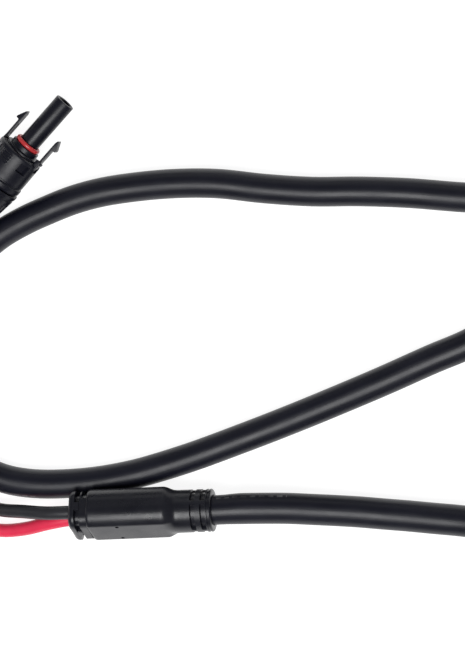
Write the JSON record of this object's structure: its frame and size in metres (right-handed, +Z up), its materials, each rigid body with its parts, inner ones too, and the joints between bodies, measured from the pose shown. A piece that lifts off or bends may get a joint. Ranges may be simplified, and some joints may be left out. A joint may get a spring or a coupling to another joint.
{
  "type": "solar cable connector",
  "caption": "Round two-core cable with a moulded splitter to a black and a red wire, each ending in a latching single-pole solar connector, and a two-pole plug at the far end.",
  "frame": {"origin": "centre of the splitter's and the two solar connectors' box in plan, on the surface that the lead lies on", "axes": "+Z up; +X along the splitter from its wire end to its cable end; +Y towards the two solar connectors"},
  "size_m": [0.3951, 0.1848, 0.0251],
  "materials": {
    "overmold": "satin moulded PVC",
    "cable_jacket": "smooth matt jacket",
    "black_insulation": "smooth satin insulation",
    "red_insulation": "smooth satin insulation",
    "connector_plastic": "fine spark-eroded texture",
    "seal_ring": "smooth silicone",
    "wire_seal": "matt silicone",
    "tinned_metal": "tinned copper",
    "plug_plastic": "moulded nylon",
    "plug_metal": "gold-plated brass"
  },
  "bodies": {
    "lead": {"splitter_overmold": "overmold", "splice_barrel_black": "tinned_metal", "splice_sleeve_black": "black_insulation", "cable_core_black": "black_insulation", "splice_barrel_red": "tinned_metal", "splice_sleeve_red": "red_insulation", "cable_core_red": "red_insulation", "socket_shell": "connector_plastic", "probe_seal_ring": "seal_ring", "socket_contact": "tinned_metal", "socket_wire_seal": "wire_seal", "pin_shell": "connector_plastic", "pin_contact": "tinned_metal", "pin_wire_seal": "wire_seal", "black_wire": "black_insulation", "red_wire": "red_insulation", "cable_to_coil": "cable_jacket", "cable_from_coil": "cable_jacket", "cable_coil": "cable_jacket", "plug_grip": "overmold", "plug_insulator": "plug_plastic", "plug_contact_positive": "plug_metal", "plug_contact_negative": "plug_metal"},
    "latch_left": {"latch_arm_left": "connector_plastic"},
    "latch_right": {"latch_arm_right": "connector_plastic"},
    "socket_basket": {"socket_clamp_basket": "connector_plastic"},
    "socket_nut": {"socket_cap_nut": "connector_plastic"},
    "pin_basket": {"pin_clamp_basket": "connector_plastic"},
    "pin_nut": {"pin_cap_nut": "connector_plastic"}
  },
  "joints": [
    {"name": "latch_left_flex", "type": "hinge", "parent": "lead", "child": "latch_left", "pos_m": [-0.01009, 0.07308, 0.01462], "axis": [0.0358, 0.0382, -0.9986], "range_deg": [0, 6], "stiffness_Nm_per_rad": 0.05},
    {"name": "latch_right_flex", "type": "hinge", "parent": "lead", "child": "latch_right", "pos_m": [0.00306, 0.06079, 0.01462], "axis": [-0.0358, -0.0382, 0.9986], "range_deg": [0, 6], "stiffness_Nm_per_rad": 0.05},
    {"name": "socket_basket_slide", "type": "slide", "parent": "lead", "child": "socket_basket", "axis": [-0.6823, -0.7292, -0.0523], "range_m": [0, 0.0045]},
    {"name": "socket_nut_turn", "type": "hinge", "parent": "socket_basket", "child": "socket_nut", "pos_m": [-0.01969, 0.04965, 0.01338], "axis": [-0.6823, -0.7292, -0.0523], "range_deg": [0, 1080]},
    {"name": "pin_basket_slide", "type": "slide", "parent": "lead", "child": "pin_basket", "axis": [0, -1, 0], "range_m": [0, 0.0045]},
    {"name": "pin_nut_turn", "type": "hinge", "parent": "pin_basket", "child": "pin_nut", "pos_m": [-0.0663, 0.0296, 0.0113], "axis": [0, -1, 0], "range_deg": [0, 1080]}
  ],
  "couplings": [
    {"joint": "socket_basket_slide", "follows": "socket_nut_turn", "m_per_rad": 0.00023873},
    {"joint": "pin_basket_slide", "follows": "pin_nut_turn", "m_per_rad": 0.00023873}
  ]
}
